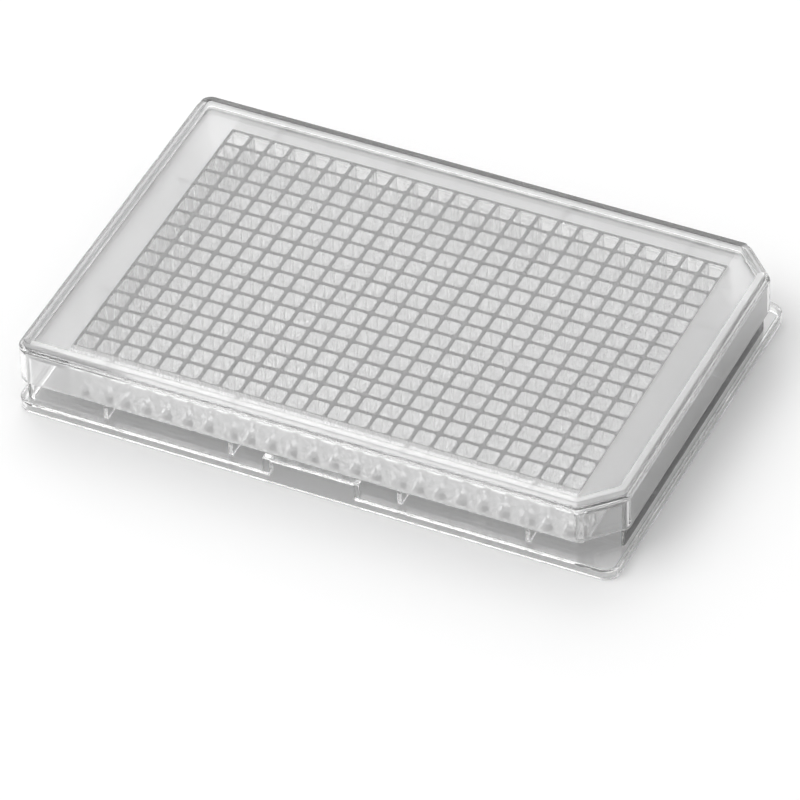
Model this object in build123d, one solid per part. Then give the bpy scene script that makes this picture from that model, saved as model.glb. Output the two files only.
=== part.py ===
"""A 384-well microplate of clear polystyrene under its loose lid, in millimetres.

The plate is one moulding: a foot with a flange, a thin outer wall with two cut
corners, a deck, and a hanging block of 24 x 16 square wells.  Ribs tie the block
to the outer wall.  The lid is a second moulding that only rests on the plate.
The origin is at the middle of the foot, on the surface that the plate stands on.
"""
from build123d import *
import os

# Foot and flange
FOOT_LENGTH = 127.76
FOOT_WIDTH = 85.48
FOOT_RADIUS = 3.18
FLANGE_HEIGHT = 2.41
FLANGE_LEDGE = 1.45  # from the flange's edge in to the outer wall
FOOT_WALL = 1.0

# Outer wall
PLATE_HEIGHT = 14.35
WALL = 1.2
WALL_RADIUS = 2.0  # the two round corners
CORNER_CUT = 6.9  # leg of the two cut corners, which show how the plate lies
PAD_LENGTH = 20.4  # flat pad in the middle of each long side, flush with the flange
PAD_HEIGHT = 6.1

# Deck
RIM_WIDTH = 1.1  # low rim round the deck, which carries the lid
RIM_HEIGHT = 0.3
DECK = 1.2

# Wells
COLUMNS = 24
ROWS = 16
PITCH = 4.5
WELL_TOP = 3.65
WELL_BOTTOM = 3.3
WELL_DEPTH = 11.2
WELL_FLOOR = 0.9
END_WALL = 0.85  # outside the outermost wells

# Ribs between the block of wells and the outer wall
RIB = 1.0
RIB_FOOT = 2.4  # height of the ribs' lower edge
LONG_SIDE_RIBS = (4, 10)  # in pitches from the middle of a long side
SHORT_SIDE_RIBS = (4,)  # in pitches from the middle of a short side

# Lid
LID_CLEARANCE = 0.3
LID_WALL = 0.9
LID_PANEL = 1.2
LID_FOOT = 7.2  # height of the lid's lower edge above the table
LID_EDGE_RADIUS = 0.4
RIDGE_STEP = 0.95  # ledge outside the stacking ridge
RIDGE_WIDTH = 1.6
RIDGE_HEIGHT = 1.3

DECK_TOP = PLATE_HEIGHT - RIM_HEIGHT
DECK_UNDERSIDE = DECK_TOP - DECK
WELL_FLOOR_TOP = DECK_TOP - WELL_DEPTH
BLOCK_BOTTOM = WELL_FLOOR_TOP - WELL_FLOOR
BLOCK_LENGTH = (COLUMNS - 1) * PITCH + WELL_TOP + 2 * END_WALL
BLOCK_WIDTH = (ROWS - 1) * PITCH + WELL_TOP + 2 * END_WALL
WALL_LENGTH = FOOT_LENGTH - 2 * FLANGE_LEDGE
WALL_WIDTH = FOOT_WIDTH - 2 * FLANGE_LEDGE


def raised(plan, bottom, top):
    """The plan as a straight-sided solid between two heights."""
    return Pos(0, 0, bottom) * extrude(plan, top - bottom)


def foot_plan():
    """Outline of the flange, a rectangle with four round corners."""
    return RectangleRounded(FOOT_LENGTH, FOOT_WIDTH, FOOT_RADIUS)


def wall_plan():
    """Outline of the outer wall, round at the -X corners and cut at the +X ones."""
    plan = Rectangle(WALL_LENGTH, WALL_WIDTH)
    plan = fillet(plan.vertices().sort_by(Axis.X)[:2], WALL_RADIUS)
    return chamfer(plan.vertices().sort_by(Axis.X)[-2:], CORNER_CUT)


def moved(plan, distance):
    """The plan with its edge moved outwards, or inwards for a negative distance."""
    return offset(plan, distance, kind=Kind.INTERSECTION)


def band(plan, inner, outer, bottom, top):
    """A closed wall between two copies of the plan that lie inside it."""
    return raised(moved(plan, -outer) - moved(plan, -inner), bottom, top)


def shell():
    """Foot, outer wall, pads and deck, hollow underneath."""
    wall = wall_plan()
    inside = moved(wall, -WALL)
    pads = Rectangle(PAD_LENGTH, FOOT_WIDTH)
    pad_cores = Rectangle(PAD_LENGTH - 2 * WALL, FOOT_WIDTH - 2 * FOOT_WALL)
    body = raised(foot_plan(), 0, FLANGE_HEIGHT)
    body += raised(pads, 0, PAD_HEIGHT)
    body += raised(wall, 0, PLATE_HEIGHT)
    body -= raised(inside, 0, DECK_UNDERSIDE)
    body -= raised(moved(foot_plan(), -FOOT_WALL), 0, FLANGE_HEIGHT - FOOT_WALL)
    body -= raised(pad_cores, 0, PAD_HEIGHT - FOOT_WALL)
    return body - raised(moved(wall, -RIM_WIDTH), DECK_TOP, PLATE_HEIGHT)


def ribs():
    """Upright webs from the block to the outer wall, in line with walls between wells."""
    reach_x = WALL_LENGTH / 2 - WALL
    reach_y = WALL_WIDTH / 2 - WALL
    plan = Sketch()
    for pitches in LONG_SIDE_RIBS:
        for side in (-1, 1):
            plan += Pos(side * pitches * PITCH, 0) * Rectangle(RIB, 2 * reach_y)
    for pitches in SHORT_SIDE_RIBS:
        for side in (-1, 1):
            plan += Pos(0, side * pitches * PITCH) * Rectangle(2 * reach_x, RIB)
    plan -= Rectangle(BLOCK_LENGTH, BLOCK_WIDTH)
    return raised(plan, RIB_FOOT, DECK_UNDERSIDE)


def wells():
    """Every well as a pocket with a flat floor and walls that lean out to the top."""
    floor = Plane.XY.offset(WELL_FLOOR_TOP) * Rectangle(WELL_BOTTOM, WELL_BOTTOM)
    mouth = Plane.XY.offset(DECK_TOP) * Rectangle(WELL_TOP, WELL_TOP)
    pocket = loft([floor, mouth])
    return [place * pocket for place in GridLocations(PITCH, PITCH, COLUMNS, ROWS)]


def well_plate():
    """The whole lower moulding; the wells are cut last, through deck and block at once."""
    block = raised(Rectangle(BLOCK_LENGTH, BLOCK_WIDTH), BLOCK_BOTTOM, DECK_TOP)
    return (shell() + ribs() + block) - wells()


def lid():
    """Panel, skirt and stacking ridge; its panel lies on the plate's rim."""
    inside = moved(wall_plan(), LID_CLEARANCE)
    outside = moved(inside, LID_WALL)
    panel_top = PLATE_HEIGHT + LID_PANEL
    cover = raised(outside, LID_FOOT, panel_top)
    cover = fillet(cover.edges().group_by(Axis.Z)[-1], LID_EDGE_RADIUS)
    cover -= raised(inside, LID_FOOT, PLATE_HEIGHT)
    ridge_inner = RIDGE_STEP + RIDGE_WIDTH
    return cover + band(outside, ridge_inner, RIDGE_STEP, panel_top, panel_top + RIDGE_HEIGHT)


def main():
    os.makedirs("parts", exist_ok=True)
    for name, part in (("well_plate", well_plate()), ("lid", lid())):
        box = part.bounding_box().size
        print(f"{name}: {part.volume / 1000:.2f} cm3, {box.X:.2f} x {box.Y:.2f} x {box.Z:.2f} mm")
        export_step(part, f"parts/{name}.step")


main()
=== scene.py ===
# %% [markdown]
# A lidded 384-well microplate.
# The real object is two injection mouldings of clear polystyrene. The plate has a foot, a thin outer
# wall, a deck and a hanging block of 24 x 16 square wells. The lid is a shallow tray turned upside down
# over it. Both are exact closed shells with small rounded edges, in a plastic that bends light. The
# dark lines aren't left to that: they are painted shade, a darker tint on single faces, as the section
# on the numbers for single faces says.

# %% Load the fixed frame
import math

import bmesh
import bpy
import numpy as np
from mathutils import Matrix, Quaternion, Vector


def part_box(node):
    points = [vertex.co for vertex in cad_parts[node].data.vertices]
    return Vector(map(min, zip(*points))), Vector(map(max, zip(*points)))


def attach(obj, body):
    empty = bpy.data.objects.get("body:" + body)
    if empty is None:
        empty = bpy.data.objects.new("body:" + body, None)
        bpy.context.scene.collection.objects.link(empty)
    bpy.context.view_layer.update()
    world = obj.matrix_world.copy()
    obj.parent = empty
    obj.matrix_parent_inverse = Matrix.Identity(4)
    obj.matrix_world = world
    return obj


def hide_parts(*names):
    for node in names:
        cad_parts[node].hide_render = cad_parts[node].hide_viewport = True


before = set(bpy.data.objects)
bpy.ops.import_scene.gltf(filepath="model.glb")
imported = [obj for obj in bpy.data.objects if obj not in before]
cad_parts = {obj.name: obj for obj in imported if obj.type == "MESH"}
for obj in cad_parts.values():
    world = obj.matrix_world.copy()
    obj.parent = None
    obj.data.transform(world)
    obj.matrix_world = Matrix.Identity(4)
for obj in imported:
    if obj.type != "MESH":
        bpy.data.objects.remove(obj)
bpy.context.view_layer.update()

plate_low, plate_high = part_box("well_plate")
lid_low, lid_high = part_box("lid")
scene = bpy.context.scene

# %% [markdown]
# Sizes. Lengths are in millimetres and are turned into metres once, when a mesh is made. The outer
# sizes come from the frame, so the looks cannot drift away from the construction. The others, such as
# the well pitch, the ribs and the walls, are those of the construction. Where a section is hidden, as
# under the deck, they are guesses.

# %% Sizes
MM = 0.001
FOOT_X, FOOT_Y = 1000 * plate_high.x, 1000 * plate_high.y  # half length and half width
PLATE_TOP = 1000 * plate_high.z
LEDGE = 1.45  # flange outside the outer wall
WALL_X, WALL_Y = FOOT_X - LEDGE, FOOT_Y - LEDGE
WALL = 1.2
FOOT_WALL = 1.0
FOOT_RADIUS = 3.18
FLANGE = 2.41
WALL_RADIUS = 2.0
CORNER_CUT = 6.9
CUT_RADIUS = 0.9  # softens the two upright edges of a cut corner
PAD_HALF = 10.2
PAD_TOP = 6.1
RIM = 1.1
DECK_TOP = PLATE_TOP - 0.3
DECK_UNDER = DECK_TOP - 1.2
PITCH = 4.5
COLUMNS, ROWS = 24, 16
MOUTH, FLOOR = 3.65 / 2, 3.3 / 2  # half widths of a well at its top and bottom
WELL_FLOOR = DECK_TOP - 11.2
BLOCK_UNDER = WELL_FLOOR - 0.9
GRID_X, GRID_Y = COLUMNS * PITCH / 2, ROWS * PITCH / 2
BLOCK_X, BLOCK_Y = GRID_X - PITCH / 2 + MOUTH + 0.85, GRID_Y - PITCH / 2 + MOUTH + 0.85
RIB_HALF = 0.5
RIB_UNDER = 2.4
PLATE_CM3, LID_CM3 = 54.24, 16.36  # volumes of the sharp-edged solids, to compare with
print("outer wall, half sizes:", round(WALL_X, 2), round(WALL_Y, 2), " block:", BLOCK_X, BLOCK_Y)

# %% [markdown]
# Outlines. Every horizontal section of the mouldings is one of three plans, moved inwards or outwards:
# the foot (a rectangle with round corners), the outer wall (two round corners, two cut ones) and the
# block of wells (nearly a plain rectangle). If all sections are sampled at the same stations, a profile
# carried from station to station gives quads without any searching. On the straight sides a station is
# a fixed place along the side, and in a corner it is a fixed direction of the outward normal.

# %% Stations round an outline
TURN = np.radians([0, 11.25, 22.5, 33.75, 45, 45, 56.25, 67.5, 78.75, 90])  # normals met in one corner


def corner(half_x, half_y, cut, radius):
    """One corner in the first quarter, as points met while the outward normal turns from +X to +Y.
    A round corner is centre + radius * normal. A cut corner is two such arcs of 45 degrees, one at
    each end of the cut, whose centres lie radius inside both of the lines that meet there."""
    normal = np.stack([np.cos(TURN), np.sin(TURN)], axis=1)
    reach = cut + radius * math.tan(math.radians(22.5)) if cut else radius
    first = np.array([half_x - radius, half_y - reach])
    second = np.array([half_x - reach, half_y - radius])
    centre = np.where((np.arange(len(TURN)) < len(TURN) // 2)[:, None], first, second)
    return centre + radius * normal


def outline(plan, inset, along_x, along_y):
    """A closed loop, anticlockwise from the middle of the -Y side's first station: four straight sides
    at the places given, and four corners between them, each a quarter turned and mirrored copy."""
    half_x, half_y, cut, round_, cut_round = plan
    half_x, half_y = half_x - inset, half_y - inset
    cut = max(cut - inset * (2 - math.sqrt(2)), 0)
    round_ = max(round_ - inset, 0.05)
    cut_round = max(cut_round - inset, 0.05) if cut else round_
    right = corner(half_x, half_y, cut, cut_round)
    left = corner(half_x, half_y, 0, round_)
    sides = (
        np.stack([along_x, np.full(len(along_x), -half_y)], axis=1),
        right[::-1] * (1, -1),
        np.stack([np.full(len(along_y), half_x), along_y], axis=1),
        right,
        np.stack([along_x[::-1], np.full(len(along_x), half_y)], axis=1),
        left[::-1] * (-1, 1),
        np.stack([np.full(len(along_y), -half_x), along_y[::-1]], axis=1),
        left * (-1, -1),
    )
    return np.concatenate(sides)


FOOT_PLAN = (FOOT_X, FOOT_Y, 0, FOOT_RADIUS, 0)
WALL_PLAN = (WALL_X, WALL_Y, CORNER_CUT, WALL_RADIUS, CUT_RADIUS)
BLOCK_PLAN = (BLOCK_X, BLOCK_Y, 0, 0.4, 0)
print("stations in one corner:", len(TURN))

# %% [markdown]
# Some features sit only on a stretch of a side: the ribs under the deck and the pads on the flange.
# Each has its own section. Where one starts or ends, the station is listed twice, once with the section
# to its left and once with the section to its right, and the quads between the two are the end face.

# %% Stations of the plate, with the kind of section at each
PLAIN, RIBBED, PADDED, CORED = range(4)
LONG_FEATURES = (  # from, to, kind, mirrored to the other half of the side
    (4 * PITCH - RIB_HALF, 4 * PITCH + RIB_HALF, RIBBED),
    (10 * PITCH - RIB_HALF, 10 * PITCH + RIB_HALF, RIBBED),
    (2 * PITCH, PAD_HALF, PADDED),
    (-2 * PITCH, 2 * PITCH, CORED),
)
SHORT_FEATURES = LONG_FEATURES[:1]


def kinds_at(places, features):
    """The kind of section at each place: the feature whose stretch, or mirrored stretch, holds it."""
    kinds = np.full(len(places), PLAIN)
    for start, end, kind in features:
        inside = (np.abs(places) > start) & (np.abs(places) < end)
        kinds[inside] = kind
    return kinds


def side_stations(last, features, pad_end):
    """Places along one side, one at each wall between wells and one to each side of it, with jumps
    listed twice. The ones beside the walls next to the middle slide out to pad_end on the outer
    sections. Returns the places on the grid of wells, those on the outer sections, and the kinds."""
    walls = np.arange(-last, last + PITCH / 2, PITCH)
    near = np.unique(np.round(np.add.outer(walls, (-RIB_HALF, 0, RIB_HALF)).ravel(), 6))
    cell = near[np.abs(near) <= max(last, GRID_Y - PITCH + RIB_HALF)]
    outer = np.where(np.isclose(np.abs(cell), 2 * PITCH + RIB_HALF), np.sign(cell) * pad_end, cell)
    kinds = np.stack([kinds_at(outer - 0.01, features), kinds_at(outer + 0.01, features)], axis=1)
    keep = np.stack([np.ones(len(cell), bool), kinds[:, 0] != kinds[:, 1]], axis=1).ravel()
    return np.repeat(cell, 2)[keep], np.repeat(outer, 2)[keep], kinds.ravel()[keep]


cell_x, along_x, kinds_x = side_stations(GRID_X, LONG_FEATURES, PAD_HALF)
along_y, _, kinds_y = side_stations(GRID_Y - PITCH, SHORT_FEATURES, 2 * PITCH + RIB_HALF)
plain_corner = np.full(len(TURN), PLAIN)
station_kinds = np.concatenate(
    [kinds_x, plain_corner, kinds_y, plain_corner, kinds_x[::-1], plain_corner, kinds_y[::-1], plain_corner]
)
print("stations:", len(station_kinds), " on a long side:", len(along_x), " on a short side:", len(along_y))


# %% Level loops at the plate's stations
def level(plan, inset, height):
    """The plan's outline moved inwards, at one height, as an (n, 3) array."""
    loop = outline(plan, inset, along_x, along_y)
    return np.column_stack([loop, np.full(len(loop), height)])


def grid_level(height):
    """The edge of the grid of wells. A corner's stations share the grid's corner point and the next
    point on the short side, so that the loop meets every vertex of the outermost cells."""
    half = len(TURN) // 2
    corner_y = np.repeat([GRID_Y, GRID_Y - RIB_HALF], half)
    corner_x = np.full(2 * half, GRID_X)
    loop = np.concatenate([
        np.stack([cell_x, np.full(len(cell_x), -GRID_Y)], axis=1),
        np.stack([corner_x, -corner_y], axis=1),
        np.stack([np.full(len(along_y), GRID_X), along_y], axis=1),
        np.stack([corner_x, corner_y[::-1]], axis=1),
        np.stack([cell_x[::-1], np.full(len(cell_x), GRID_Y)], axis=1),
        np.stack([-corner_x, corner_y], axis=1),
        np.stack([np.full(len(along_y), -GRID_X), along_y[::-1]], axis=1),
        np.stack([-corner_x, -corner_y[::-1]], axis=1),
    ])
    return np.column_stack([loop, np.full(len(loop), height)])


# %% [markdown]
# The skirt's section runs from the deck, over the rim, down the outer wall, round the flange and its
# foot, up inside the moat and down the block. Convex edges get a small quarter circle, because a
# moulding never leaves its tool with a sharp one, and on clear plastic these thin bands are what the
# eye reads as the outline. Each row is a whole loop; a special section only moves some of the rows.

# %% The plate's skirt as rows of loops
EDGE = np.radians([0, 45, 90])  # three points make a rounded edge


def rounded(plan, inset, height, radius, start, sign=(1, 1)):
    """Loops of a rounded edge whose corner is at inset and height. The angle runs over a quarter turn:
    the inset is moved by radius * (1 - sin) and the height by radius * (1 - cos), or in reverse."""
    turn = EDGE if start == "wall" else EDGE[::-1]
    inwards, up = sign
    return [
        level(plan, inset + inwards * radius * (1 - math.cos(a)), height + up * radius * (1 - math.sin(a)))
        for a in turn
    ]


def between(a, b, share):
    """A loop part of the way from loop a to loop b."""
    return a + share * (b - a)


def skirt_rows(kind):
    """All loops of the section that a kind of station has."""
    padded = kind in (PADDED, CORED)
    top = PAD_TOP if padded else FLANGE
    wall_foot = level(WALL_PLAN, 0, FLANGE)
    flange_edge = rounded(FOOT_PLAN, 0, top, 0.35, "top", (1, -1))
    if padded:
        wall_foot = between(level(WALL_PLAN, 0, PAD_TOP), flange_edge[0], 0.5)
    rows = [grid_level(DECK_TOP), level(WALL_PLAN, RIM, DECK_TOP)]
    rows += rounded(WALL_PLAN, RIM, PLATE_TOP, 0.1, "wall", (-1, -1))
    rows += rounded(WALL_PLAN, 0, PLATE_TOP, 0.25, "top", (1, -1))
    rows += [level(WALL_PLAN, 0, PAD_TOP), wall_foot, *flange_edge]
    rows += [level(FOOT_PLAN, 0, FLANGE - 0.35)]
    rows += rounded(FOOT_PLAN, 0, 0, 0.2, "wall", (1, 1))
    rows += rounded(FOOT_PLAN, FOOT_WALL, 0, 0.15, "top", (-1, 1))
    shelf = level(WALL_PLAN, WALL, FLANGE - FOOT_WALL)
    shelf_edge = level(FOOT_PLAN, FOOT_WALL, FLANGE - FOOT_WALL)
    moat = [shelf, level(WALL_PLAN, WALL, RIB_UNDER), level(WALL_PLAN, WALL, PAD_TOP - FOOT_WALL)]
    if kind == CORED:
        lifted = level(FOOT_PLAN, FOOT_WALL, PAD_TOP - FOOT_WALL)
        rows += [shelf_edge, lifted]
        moat = [between(lifted, moat[2], 0.33), between(lifted, moat[2], 0.67), moat[2]]
    else:
        rows += [shelf_edge, shelf_edge]
    ceiling = [level(WALL_PLAN, WALL, DECK_UNDER), level(BLOCK_PLAN, 0, DECK_UNDER)]
    block_rib = level(BLOCK_PLAN, 0, RIB_UNDER)
    if kind == RIBBED:
        wall_rib = moat[1]
        moat[2], *ceiling = (between(wall_rib, block_rib, share) for share in (0.25, 0.5, 0.75))
    rows += moat + ceiling + [block_rib]
    rows += rounded(BLOCK_PLAN, 0, BLOCK_UNDER, 0.25, "wall", (1, 1))
    return np.array(rows + [grid_level(BLOCK_UNDER)])


by_kind = np.array([skirt_rows(kind) for kind in (PLAIN, RIBBED, PADDED, CORED)])
skirt = by_kind[station_kinds, :, np.arange(len(station_kinds))].transpose(1, 0, 2)
print("skirt:", skirt.shape[0], "loops of", skirt.shape[1], "points")


# %% Quads over rows of closed loops
def loop_quads(rows, columns, first=0):
    """Vertex numbers of the quads between neighbouring rows of closed loops, as an (n, 4) array."""
    number = first + np.arange(rows * columns).reshape(rows, columns)
    beside = np.roll(number, -1, axis=1)
    return np.stack([number[:-1], number[1:], beside[1:], beside[:-1]], axis=-1).reshape(-1, 4)


# %% [markdown]
# The wells. One cell is a 4.5 mm square of deck with a square hole whose corners are round. Its rings
# have twelve points each: three on every corner's quarter circle, joined to three round each corner of
# the square, so every cell is the same and neighbours share their edge points. The mouth is eased, and
# the foot of the well runs in to a round flat window, which is a guess at how such a floor is made.
# Five bands and two flat polygons are enough, because there are 384 of them.

# %% One cell, then 384 of them in one array
WELL_CORNER = 0.45
MOUTH_EDGE = 0.2
WINDOW = 1.25  # radius of the flat window in a well's floor
WINDOW_RISE = 0.5
# The mark under each well is matt, and the shade mask paints it dark: painted shade that gives each well a
# dark dot.
PIN_MARK = 0.95  # radius of the round mark that a core pin leaves under each well


def quarter_turns(points):
    """Four copies of some points, each turned by a further quarter turn about the middle."""
    x, y = np.asarray(points, float).T
    return np.concatenate([np.stack(p, axis=1) for p in ((x, y), (-y, x), (-x, -y), (y, -x))])


def well_ring(half, radius, height):
    """A square ring with round corners: corner centre + radius * (cos, sin) of 0, 45 and 90 degrees."""
    angle = np.radians([0, 45, 90])
    arc = half - radius + radius * np.stack([np.cos(angle), np.sin(angle)], axis=1)
    return np.column_stack([quarter_turns(arc), np.full(12, height)])


def cell_edge(height):
    """The cell's square, with a point at each corner and one to each side of it."""
    side = PITCH / 2
    near = side - RIB_HALF
    return np.column_stack([quarter_turns([(side, near), (side, side), (near, side)]), np.full(12, height)])


cell = np.array([
    well_ring(PIN_MARK, PIN_MARK, BLOCK_UNDER),
    cell_edge(BLOCK_UNDER),
    cell_edge(DECK_TOP),
    well_ring(MOUTH + MOUTH_EDGE, WELL_CORNER + MOUTH_EDGE, DECK_TOP),
    well_ring(MOUTH, WELL_CORNER, DECK_TOP - MOUTH_EDGE),
    well_ring(FLOOR, WELL_CORNER, WELL_FLOOR + WINDOW_RISE),
    well_ring(WINDOW, WINDOW, WELL_FLOOR),
])
centre_x = (np.arange(COLUMNS) - (COLUMNS - 1) / 2) * PITCH
centre_y = (np.arange(ROWS) - (ROWS - 1) / 2) * PITCH
centres = np.array(np.meshgrid(centre_x, centre_y, [0.0])).reshape(3, -1).T
wells = cell[None] + centres[:, None, None, :]
print("wells:", len(centres), "cells of", cell.shape[0] * cell.shape[1], "points")


# %% Faces of the cells
def cell_faces(count, rings, first):
    """Quads round the mark under each well, and from the deck down the well, as every pair of rings
    but the one at the cell's square side. Then the twelve-sided floors and the marks themselves."""
    number = first + np.arange(count * rings * 12).reshape(count, rings, 12)
    beside = np.roll(number, -1, axis=2)
    outer, inner = [0, *range(2, rings - 1)], [1, *range(3, rings)]
    quads = np.stack([number[:, outer], beside[:, outer], beside[:, inner], number[:, inner]], axis=-1)
    return quads.reshape(-1, 4), number[:, -1], number[:, 0, ::-1]


# %% A mesh from arrays
def closed_piece(name, points, faces, expected_cm3):
    """Makes the object, welds points that coincide, and reports open edges and the volume enclosed."""
    mesh = bpy.data.meshes.new(name)
    mesh.from_pydata((points * MM).tolist(), [], faces)
    work = bmesh.new()
    work.from_mesh(mesh)
    bmesh.ops.remove_doubles(work, verts=work.verts, dist=1e-6)
    bmesh.ops.dissolve_degenerate(work, edges=work.edges, dist=1e-6)
    open_edges = sum(not edge.is_manifold for edge in work.edges)
    volume = work.calc_volume(signed=True) * 1e6
    work.to_mesh(mesh)
    work.free()
    mesh.shade_smooth()
    mesh.set_sharp_from_angle(angle=math.radians(50))
    piece = bpy.data.objects.new(name, mesh)
    scene.collection.objects.link(piece)
    print(f"{name}: {len(mesh.polygons)} faces, {open_edges} open edges, {volume:.2f} cm3 of {expected_cm3}")
    return piece


skirt_points = skirt.reshape(-1, 3)
skirt_faces = loop_quads(skirt.shape[0], skirt.shape[1])
quads, floors, undersides = cell_faces(len(centres), len(cell), len(skirt_points))
plate = closed_piece(
    "microplate",
    np.concatenate([skirt_points, wells.reshape(-1, 3)]),
    skirt_faces.tolist() + quads.tolist() + floors.tolist() + undersides.tolist(),
    PLATE_CM3,
)


# %% [markdown]
# A tool isn't polished all over. The wells and the outer wall come out of it like glass, but the deck's
# margins, the sides of the block and the ends of the core pins come out matt. So every face gets two
# numbers and a choice. "matt" raises the roughness. "shade" darkens the tint, which is painted shade,
# and it is what draws the dark lines: on the tops of the walls between wells, the marks of the pins and
# the end walls, and more faintly on the deck's margins and the sides of the block. With the shade off,
# the lines of the grid come out 20 to 30 grey levels paler. It is a stand-in for shade that is fitted
# to one view, so it is uneven, and from other sides the shaded end looks darker than a real plate's.
# The choice is between the clear material and a milky one, which the margins have.

# %% Numbers and materials for single faces
def face_places(piece):
    """Centres in millimetres and normals of all faces, as two (n, 3) arrays."""
    faces = piece.data.polygons
    centre, normal = np.empty(3 * len(faces)), np.empty(3 * len(faces))
    faces.foreach_get("center", centre)
    faces.foreach_get("normal", normal)
    return centre.reshape(-1, 3) / MM, normal.reshape(-1, 3)


def face_mask(piece, name, values):
    """Keeps one number per face as an attribute that the material can read."""
    layer = piece.data.attributes.new(name, "FLOAT", "FACE")
    layer.data.foreach_set("value", values.astype(np.float32))
    print(piece.name, name, "on", int((values > 0).sum()), "faces")


def frost(piece, faces):
    """Gives the faces chosen the piece's second material."""
    piece.data.polygons.foreach_set("material_index", faces.astype(np.int32))
    print(piece.name, "frosted on", int(faces.sum()), "faces")


TOUCH = 0.1  # how near a face's centre has to lie to a surface to belong to it
WELL_MATT, BLOCK_MATT = 0.1, 0.5
# Painted shade: how much darker the tint is made on the block's sides, the deck's margins and the end walls.
BLOCK_SHADE = 0.3
MARGIN_SHADE = (0.15, 0.25, 0.4)  # at the cut corners' end, at the other end, along the long sides
END_SHADE = (0.95, 0.4)  # the end wall at the cut corners, and the other one

centre, normal = face_places(plate)
x, y, z = centre.T
in_grid = (np.abs(x) < GRID_X) & (np.abs(y) < GRID_Y)
off_middle_x, off_middle_y = (np.abs(v / PITCH % 1 - 0.5) for v in (x, y))  # in pitches
well_side = in_grid & (z > WELL_FLOOR + TOUCH) & (z < DECK_TOP - MOUTH_EDGE)
wall_top = in_grid & (z > DECK_TOP - MOUTH_EDGE)
pin_mark_painted_dark = in_grid & (z < BLOCK_UNDER + TOUCH) & (np.hypot(off_middle_x, off_middle_y) < 0.05)
deck_face = ~in_grid & (np.abs(z - DECK_TOP) < TOUCH / 5) & (normal[:, 2] > 0.5)
margin = deck_face & ((y > -GRID_Y) | (np.abs(x) > GRID_X))
block_side = ~in_grid & (np.abs(x) < BLOCK_X + TOUCH) & (y > -GRID_Y) & (y < BLOCK_Y + TOUCH)
block_side &= (np.abs(normal[:, 2]) < 0.1) & (z < DECK_UNDER)
end_wall = (np.abs(normal[:, 0]) > 0.9) & (np.abs(x) > WALL_X - TOUCH) & (z > FLANGE + TOUCH)
# Painted shade, drawn by the shade mask: dark tops of the walls between wells, dark dots at the pin marks,
# and darker margins, block sides and end walls.
face_mask(plate, "matt", WELL_MATT * well_side + BLOCK_MATT * block_side + margin + pin_mark_painted_dark)
face_mask(
    plate,
    "shade",
    margin * np.select([x > GRID_X, x < -GRID_X], MARGIN_SHADE[:2], MARGIN_SHADE[2])
    + end_wall * np.where(x > 0, *END_SHADE)
    + BLOCK_SHADE * block_side
    + wall_top
    + pin_mark_painted_dark,
)
frost(plate, margin)

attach(plate, "root")
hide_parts("well_plate")


# %% [markdown]
# The lid is one section carried round the wall's plan, moved outwards by the clearance. It starts at
# the flat top inside the stacking ridge, goes over the ridge, down the skirt, and back up inside to
# the flat underside. Two flat polygons close it. The real lid touches the plate's rim. This one is a
# hair off it, only so that two clear surfaces don't share one plane.

# %% The lid
LID_CLEARANCE, LID_WALL, LID_PANEL = 0.3, 0.9, 1.2
LID_OUT = -(LID_CLEARANCE + LID_WALL)  # the lid's outside, as an inset of the wall's plan
LID_FOOT = 1000 * lid_low.z
RIDGE_TOP = 1000 * lid_high.z
PANEL_TOP = PLATE_TOP + LID_PANEL
SEAT_GAP = 0.04
FOOT_EDGE = 0.42  # the foot of the skirt is nearly a half round
RIDGE_OUT, RIDGE_IN = 0.95, 2.55  # the ridge's two faces, from the lid's outside
along_x, along_y = np.array([-GRID_X, GRID_X]), np.array([-GRID_Y + PITCH, GRID_Y - PITCH])


def lid_edge(inset, height, radius, start, sign):
    """A rounded edge of the lid, its inset measured from the lid's outside."""
    return rounded(WALL_PLAN, LID_OUT + inset, height, radius, start, sign)


lid_rows = np.array([
    *lid_edge(RIDGE_IN, PANEL_TOP, 0.2, "top", (1, 1)),
    *lid_edge(RIDGE_IN, RIDGE_TOP, 0.3, "wall", (-1, -1)),
    *lid_edge(RIDGE_OUT, RIDGE_TOP, 0.3, "top", (1, -1)),
    *lid_edge(RIDGE_OUT, PANEL_TOP, 0.1, "wall", (-1, 1)),
    *lid_edge(0, PANEL_TOP, 0.4, "top", (1, -1)),
    *lid_edge(0, LID_FOOT, FOOT_EDGE, "wall", (1, 1)),
    *lid_edge(LID_WALL, LID_FOOT, FOOT_EDGE, "top", (-1, 1)),
    *lid_edge(LID_WALL, PLATE_TOP + SEAT_GAP, 0.3, "wall", (1, -1)),
])
lid_numbers = np.arange(lid_rows.shape[0] * lid_rows.shape[1]).reshape(lid_rows.shape[:2])
lid = closed_piece(
    "lid_cover",
    lid_rows.reshape(-1, 3),
    loop_quads(*lid_rows.shape[:2]).tolist() + [lid_numbers[0].tolist(), lid_numbers[-1, ::-1].tolist()],
    LID_CM3,
)


# %% [markdown]
# The lid's panel has a breath of haze, just enough to soften what lies under it. The ridge is milky,
# and so are the foot of the skirt and the front of the skirt. The foot is meant to show as a white
# line, but before the end wall with its painted shade it comes out dark. The top of the ridge gets
# painted shade, a dark tint, along the far side and a little at the left end. That puts the far dark
# line on the outermost edge, while the real lid has it a millimetre or two further in. The milky front
# and the bars of painted shade are fitted to this view as well: a real lid is the same all round.

# %% The lid's faces
RIDGE_MATT = 2.0
# Painted shade: how dark the tint is made on the top of the ridge, on the far bar and on the bars at the far
# corner and the left end.
FAR_SHADE, TURNED_SHADE = 0.95, 0.6  # the far bar of the ridge, and the bars that turn away from it

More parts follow.
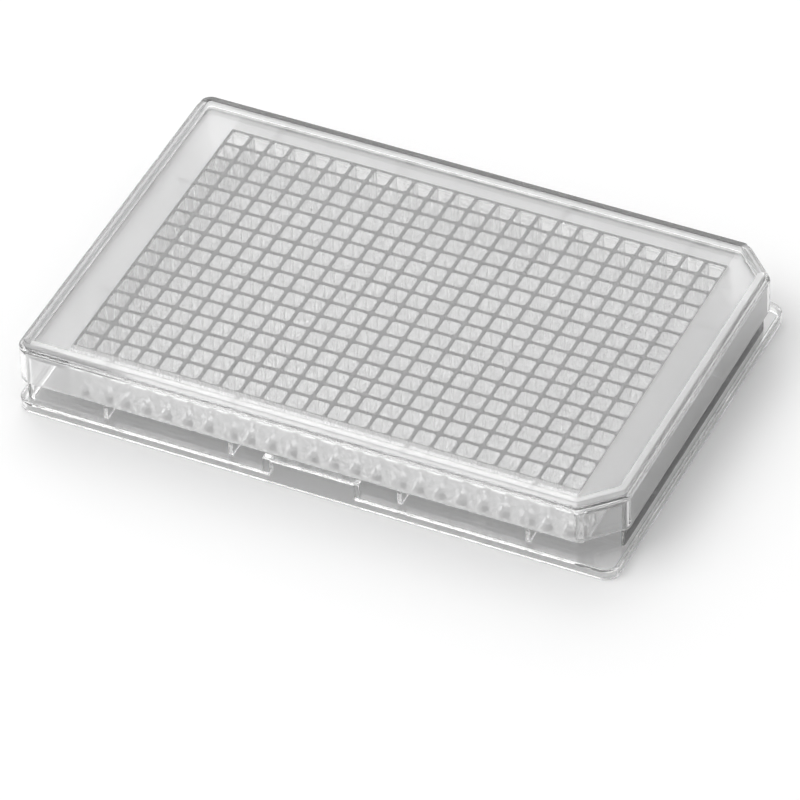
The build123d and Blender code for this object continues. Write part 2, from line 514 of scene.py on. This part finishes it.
centre, normal = face_places(lid)
x, y, z = centre.T
panel_flat = (np.abs(normal[:, 2]) > 0.99) & (np.hypot(x, y) < PITCH)
ridge = z > PANEL_TOP + TOUCH
foot = z < LID_FOOT + FOOT_EDGE
front_skirt = (normal[:, 1] < -0.9) & (y < -WALL_Y + LID_OUT + TOUCH) & (z < PANEL_TOP - 3 * TOUCH)
ridge_top = (z > RIDGE_TOP - 1.5 * TOUCH) & (normal[:, 2] > 0.6)
at_far_side, at_far_corner, at_left_end = y > WALL_Y - 3, y > WALL_Y - CORNER_CUT - TOUCH, x < -WALL_X + 3
ridge_shade = np.select([at_far_side, at_far_corner | at_left_end], [FAR_SHADE, TURNED_SHADE], 0)
face_mask(lid, "matt", panel_flat + RIDGE_MATT * ridge)
face_mask(lid, "shade", ridge_top * ridge_shade)
frost(lid, ridge | front_skirt | foot)

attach(lid, "root")
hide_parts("lid")


# %% [markdown]
# Shading. Flat faces must stay optically flat right up to a rounded edge, or the light bends as if the
# whole wall were a lens. Weighting each corner's normal by the area of the faces round it does that:
# the big flat faces win, and only the narrow bands carry the turn.

# %% Weighted normals
for piece in (plate, lid):
    weighted = piece.modifiers.new("flat faces stay flat", "WEIGHTED_NORMAL")
    weighted.keep_sharp = True
    weighted.weight = 100
    print(piece.name, "sharp edges:", sum(edge.use_edge_sharp for edge in piece.data.edges))


# %% [markdown]
# The finish of a moulding. Crystal polystyrene leaves a polished tool almost without texture, but not
# quite: the surface follows slow waves where the melt cooled unevenly, and handling leaves a faint
# bloom. Both are effects that the plate and the lid share with different strengths, so each is a node
# group with named sockets. A group gives out only heights and masks; the glass itself stays in the
# material, where its roughness and bump take them in.

# %% A node group's sockets
def new_group(name, inputs, outputs):
    """A shader node group with float inputs given as (name, value) and the outputs given by name."""
    group = bpy.data.node_groups.new(name, "ShaderNodeTree")
    group.interface.new_socket("Vector", in_out="INPUT", socket_type="NodeSocketVector")
    for label, value in inputs:
        socket = group.interface.new_socket(label, in_out="INPUT", socket_type="NodeSocketFloat")
        socket.default_value = value
    for label in outputs:
        group.interface.new_socket(label, in_out="OUTPUT", socket_type="NodeSocketFloat")
    return group, group.nodes.new("NodeGroupInput"), group.nodes.new("NodeGroupOutput")


def add(tree, kind, **settings):
    """A node of this kind with its plain properties set."""
    node = tree.nodes.new(kind)
    for label, value in settings.items():
        setattr(node, label, value)
    return node


# %% Group: slow waves left by the cooling melt
def flow_waves_group():
    """Height from two noises: long waves stretched along X, the way the melt ran, and short ripple."""
    group, given, made = new_group("flow waves", (("Wave Scale", 60), ("Ripple Share", 0.2)), ("Height",))
    stretch = add(group, "ShaderNodeMapping")
    stretch.inputs["Scale"].default_value = (0.6, 1.0, 1.0)
    waves = add(group, "ShaderNodeTexNoise")
    waves.inputs["Detail"].default_value = 1.5
    ripple_scale = add(group, "ShaderNodeMath", operation="MULTIPLY")
    ripple_scale.inputs[1].default_value = 7.0
    ripple = add(group, "ShaderNodeTexNoise")
    ripple.inputs["Detail"].default_value = 2.0
    blend = add(group, "ShaderNodeMix", data_type="FLOAT")
    link = group.links.new
    link(given.outputs["Vector"], stretch.inputs["Vector"])
    link(stretch.outputs["Vector"], waves.inputs["Vector"])
    link(stretch.outputs["Vector"], ripple.inputs["Vector"])
    link(given.outputs["Wave Scale"], waves.inputs["Scale"])
    link(given.outputs["Wave Scale"], ripple_scale.inputs[0])
    link(ripple_scale.outputs[0], ripple.inputs["Scale"])
    link(given.outputs["Ripple Share"], blend.inputs["Factor"])
    link(waves.outputs["Fac"], blend.inputs["A"])
    link(ripple.outputs["Fac"], blend.inputs["B"])
    link(blend.outputs["Result"], made.inputs["Height"])
    return group


# %% Group: bloom and fine wiping marks from handling
def handling_bloom_group():
    """A mask near 0 on clean plastic: soft patches, and hair lines from a noise stretched along one
    diagonal and cut off high, so that only its crests are left."""
    group, given, made = new_group("handling bloom", (("Patch Scale", 35), ("Line Amount", 0.3)), ("Mask",))
    patches = add(group, "ShaderNodeTexNoise")
    patches.inputs["Detail"].default_value = 4.0
    patch_range = add(group, "ShaderNodeMapRange")
    patch_range.inputs["From Min"].default_value = 0.45
    patch_range.inputs["From Max"].default_value = 0.75
    wipe = add(group, "ShaderNodeMapping")
    wipe.inputs["Rotation"].default_value = (0, 0, math.radians(34))
    wipe.inputs["Scale"].default_value = (12, 900, 200)
    lines = add(group, "ShaderNodeTexNoise")
    lines.inputs["Scale"].default_value = 1.0
    lines.inputs["Detail"].default_value = 1.0
    line_range = add(group, "ShaderNodeMapRange")
    line_range.inputs["From Min"].default_value = 0.68
    line_range.inputs["From Max"].default_value = 0.78
    line_share = add(group, "ShaderNodeMath", operation="MULTIPLY")
    total = add(group, "ShaderNodeMath", operation="ADD", use_clamp=True)
    link = group.links.new
    link(given.outputs["Vector"], patches.inputs["Vector"])
    link(given.outputs["Patch Scale"], patches.inputs["Scale"])
    link(patches.outputs["Fac"], patch_range.inputs["Value"])
    link(given.outputs["Vector"], wipe.inputs["Vector"])
    link(wipe.outputs["Vector"], lines.inputs["Vector"])
    link(lines.outputs["Fac"], line_range.inputs["Value"])
    link(line_range.outputs["Result"], line_share.inputs[0])
    link(given.outputs["Line Amount"], line_share.inputs[1])
    link(patch_range.outputs["Result"], total.inputs[0])
    link(line_share.outputs[0], total.inputs[1])
    link(total.outputs[0], made.inputs["Mask"])
    return group


flow_waves = flow_waves_group()
handling_bloom = handling_bloom_group()


# %% [markdown]
# Clear polystyrene bends light strongly, with an index of 1.59. Its own colour is white, because a ray
# through the wells crosses many surfaces and every one would multiply a tint. The bloom and
# the matt faces raise the roughness, the shaded faces get a darker tint, which is painted shade, and
# the waves drive a very low bump. The milky material is the same plastic with three tenths of it
# scattering instead of clear.

# %% Clear and milky polystyrene
def polystyrene(name, clearness, wave_scale, wave_height, bloom_haze, line_amount, matt_haze, painted_shade_tint):
    """Roughness = matt_haze * matt + bloom_haze * bloom. Colour = white mixed by shade with the dark tint,
    the last argument, which is painted shade. The share called clearness is refracted, and the rest
    scatters as white plastic does."""
    material = bpy.data.materials.new(name)
    material.use_nodes = True
    tree = material.node_tree
    tree.nodes.clear()
    output = add(tree, "ShaderNodeOutputMaterial")
    plastic = add(tree, "ShaderNodeBsdfPrincipled")
    plastic.inputs["IOR"].default_value = 1.59
    plastic.inputs["Transmission Weight"].default_value = clearness
    place = add(tree, "ShaderNodeTexCoord")
    waves = add(tree, "ShaderNodeGroup", node_tree=flow_waves)
    waves.inputs["Wave Scale"].default_value = wave_scale
    bloom = add(tree, "ShaderNodeGroup", node_tree=handling_bloom)
    bloom.inputs["Line Amount"].default_value = line_amount
    matt = add(tree, "ShaderNodeAttribute", attribute_name="matt")
    shaded = add(tree, "ShaderNodeAttribute", attribute_name="shade")
    bloomed = add(tree, "ShaderNodeMath", operation="MULTIPLY")
    bloomed.inputs[1].default_value = bloom_haze
    haze = add(tree, "ShaderNodeMath", operation="MULTIPLY_ADD")
    haze.inputs[1].default_value = matt_haze
    tint = add(tree, "ShaderNodeMix", data_type="RGBA")
    tint.inputs["A"].default_value = (1, 1, 1, 1)
    tint.inputs["B"].default_value = (*painted_shade_tint, 1)
    bump = add(tree, "ShaderNodeBump")
    bump.inputs["Strength"].default_value = 1.0
    bump.inputs["Distance"].default_value = wave_height
    link = tree.links.new
    link(place.outputs["Object"], waves.inputs["Vector"])
    link(place.outputs["Object"], bloom.inputs["Vector"])
    link(bloom.outputs["Mask"], bloomed.inputs[0])
    link(matt.outputs["Fac"], haze.inputs[0])
    link(bloomed.outputs[0], haze.inputs[2])
    link(haze.outputs[0], plastic.inputs["Roughness"])
    link(shaded.outputs["Fac"], tint.inputs["Factor"])
    link(tint.outputs["Result"], plastic.inputs["Base Color"])
    link(waves.outputs["Height"], bump.inputs["Height"])
    link(bump.outputs["Normal"], plastic.inputs["Normal"])
    link(plastic.outputs["BSDF"], output.inputs["Surface"])
    return material


CLEAR, MILKY = 1.0, 0.7
# The last number of each finish is the dark tint that the shade mask paints: painted shade, not a colour of
# the plastic.
plate_finish_and_painted_shade = (90, 0.00002, 0.02, 0.2, 0.3, (0.01, 0.01, 0.01))
lid_finish_and_painted_shade = (45, 0.00003, 0.03, 0.5, 0.07, (0.03, 0.03, 0.03))
plate_plastic = polystyrene("plate_plastic_clear", CLEAR, *plate_finish_and_painted_shade)
lid_plastic = polystyrene("lid_plastic_clear", CLEAR, *lid_finish_and_painted_shade)
plate.data.materials.append(plate_plastic)
plate.data.materials.append(polystyrene("plate_plastic_frosted", MILKY, *plate_finish_and_painted_shade))
lid.data.materials.append(lid_plastic)
lid.data.materials.append(polystyrene("lid_plastic_frosted", MILKY, *lid_finish_and_painted_shade))
print("finishes:", [slot.name for piece in (plate, lid) for slot in piece.data.materials])
for node, material in (("well_plate", plate_plastic), ("lid", lid_plastic)):
    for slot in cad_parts[node].material_slots:
        slot.material = material


# %% [markdown]
# The stage is a pale floor. Its own colour comes near to white under a plain level of light, and a
# faint glow lifts it the rest of the way for the rays that look at it: straight from the camera, off
# a glossy surface and through the plastic. The glow lights nothing, so the shadow stays.

# %% Floor
def pale_floor(half, drop, colour, glow):
    """A square at a little below the foot, so that the two never share a plane."""
    mesh = bpy.data.meshes.new("floor")
    corners = [(-half, -half, -drop), (half, -half, -drop), (half, half, -drop), (-half, half, -drop)]
    mesh.from_pydata(corners, [], [(0, 1, 2, 3)])
    material = bpy.data.materials.new("pale_floor")
    material.use_nodes = True
    tree = material.node_tree
    tree.nodes.clear()
    output = add(tree, "ShaderNodeOutputMaterial")
    paper = add(tree, "ShaderNodeBsdfDiffuse")
    paper.inputs["Color"].default_value = (colour, colour, colour, 1)
    shine = add(tree, "ShaderNodeEmission")
    rays = add(tree, "ShaderNodeLightPath")
    glossy_too = add(tree, "ShaderNodeMath", operation="MAXIMUM")
    through_too = add(tree, "ShaderNodeMath", operation="MAXIMUM")
    share = add(tree, "ShaderNodeMath", operation="MULTIPLY")
    share.inputs[1].default_value = glow
    both = add(tree, "ShaderNodeAddShader")
    link = tree.links.new
    link(rays.outputs["Is Camera Ray"], glossy_too.inputs[0])
    link(rays.outputs["Is Glossy Ray"], glossy_too.inputs[1])
    link(glossy_too.outputs[0], through_too.inputs[0])
    link(rays.outputs["Is Transmission Ray"], through_too.inputs[1])
    link(through_too.outputs[0], share.inputs[0])
    link(share.outputs[0], shine.inputs["Strength"])
    link(paper.outputs["BSDF"], both.inputs[0])
    link(shine.outputs["Emission"], both.inputs[1])
    link(both.outputs["Shader"], output.inputs["Surface"])
    mesh.materials.append(material)
    floor = bpy.data.objects.new("floor", mesh)
    scene.collection.objects.link(floor)
    return floor


pale_floor(half=3.0, drop=0.0001, colour=0.8, glow=0.15)


# %% [markdown]
# Light. Clear plastic has no shading of its own: it shows what stands round it. So the studio is a
# dome that is dim at the horizon and lighter overhead, with two large soft panels. One is behind and
# above the object, where a lid seen from the front mirrors it. The other is in front on the left: it
# faces the milky front of the skirt, and not the end at the cut corners. The dim horizon takes only a
# few grey levels off the sides. It doesn't draw the dark lines, which are painted shade on single faces.

# %% Studio dome
def studio_dome(horizon, zenith, zenith_height):
    """World light whose strength climbs from the horizon to a height given as a direction's Z."""
    world = bpy.data.worlds.new("studio")
    world.use_nodes = True
    tree = world.node_tree
    background = tree.nodes["Background"]
    direction = add(tree, "ShaderNodeTexCoord")
    split = add(tree, "ShaderNodeSeparateXYZ")
    climb = add(tree, "ShaderNodeMapRange")
    climb.inputs["From Max"].default_value = zenith_height
    climb.inputs["To Min"].default_value = horizon
    climb.inputs["To Max"].default_value = zenith
    background.inputs["Color"].default_value = (1, 1, 1, 1)
    tree.links.new(direction.outputs["Generated"], split.inputs["Vector"])
    tree.links.new(split.outputs["Z"], climb.inputs["Value"])
    tree.links.new(climb.outputs["Result"], background.inputs["Strength"])
    scene.world = world


PANEL_SIZE = (1.8, 1.4)


def soft_panel(name, place, width, depth, brightness):
    """A rectangular lamp that faces the origin. Its power is brightness * pi * area, so that the panel
    itself looks as bright as a white surface of that value."""
    lamp = bpy.data.lights.new(name, "AREA")
    lamp.shape = "RECTANGLE"
    lamp.size, lamp.size_y = width, depth
    lamp.energy = brightness * math.pi * width * depth
    panel = bpy.data.objects.new(name, lamp)
    scene.collection.objects.link(panel)
    panel.location = place
    panel.rotation_mode = "QUATERNION"
    panel.rotation_quaternion = (-Vector(place)).to_track_quat("-Z", "Y")
    return panel


studio_dome(horizon=0.35, zenith=0.65, zenith_height=0.5)
soft_panel("back panel", (-0.7, 1.35, 1.3), *PANEL_SIZE, 1.5)
soft_panel("key panel", (-0.9, -0.8, 1.6), *PANEL_SIZE, 2.4)


# %% [markdown]
# The camera stands in front, about 26 degrees round towards the cut corners, and looks down from 41
# degrees through a very long lens, which keeps the long sides almost parallel.

# %% Camera
CAMERA_AZIMUTH, CAMERA_ELEVATION, CAMERA_ROLL = (math.radians(a) for a in (25.85, 41.27, 1.716))
CAMERA_DISTANCE = 1.4702
LENS = 343.1
AIM = Vector((0.01132, -0.02542, PLATE_TOP * MM))


def long_lens_camera():
    """A camera on a sphere round the aim point, rolled a little about its own axis."""
    level_share = math.cos(CAMERA_ELEVATION)
    back = Vector((
        math.sin(CAMERA_AZIMUTH) * level_share,
        -math.cos(CAMERA_AZIMUTH) * level_share,
        math.sin(CAMERA_ELEVATION),
    ))
    data = bpy.data.cameras.new("camera")
    data.lens = LENS
    data.clip_start = 0.1
    camera = bpy.data.objects.new("camera", data)
    scene.collection.objects.link(camera)
    camera.location = AIM + CAMERA_DISTANCE * back
    camera.rotation_mode = "QUATERNION"
    camera.rotation_quaternion = (-back).to_track_quat("-Z", "Y") @ Quaternion((0, 0, 1), -CAMERA_ROLL)
    scene.camera = camera
    return camera


print("camera at", [round(v, 4) for v in long_lens_camera().location])

# %% [markdown]
# A ray that enters the wells meets wall after wall. If it is cut short it comes back black, so it is
# allowed many bounces, and light bent by the plastic onto the floor is kept.

# %% Light paths and view
CLEAR_BOUNCES = 64
scene.view_settings.view_transform = "Standard"
scene.cycles.max_bounces = CLEAR_BOUNCES
scene.cycles.transmission_bounces = CLEAR_BOUNCES
scene.cycles.glossy_bounces = CLEAR_BOUNCES
scene.cycles.diffuse_bounces = 6
scene.cycles.caustics_refractive = True
scene.cycles.caustics_reflective = True
print("bounces:", scene.cycles.max_bounces)
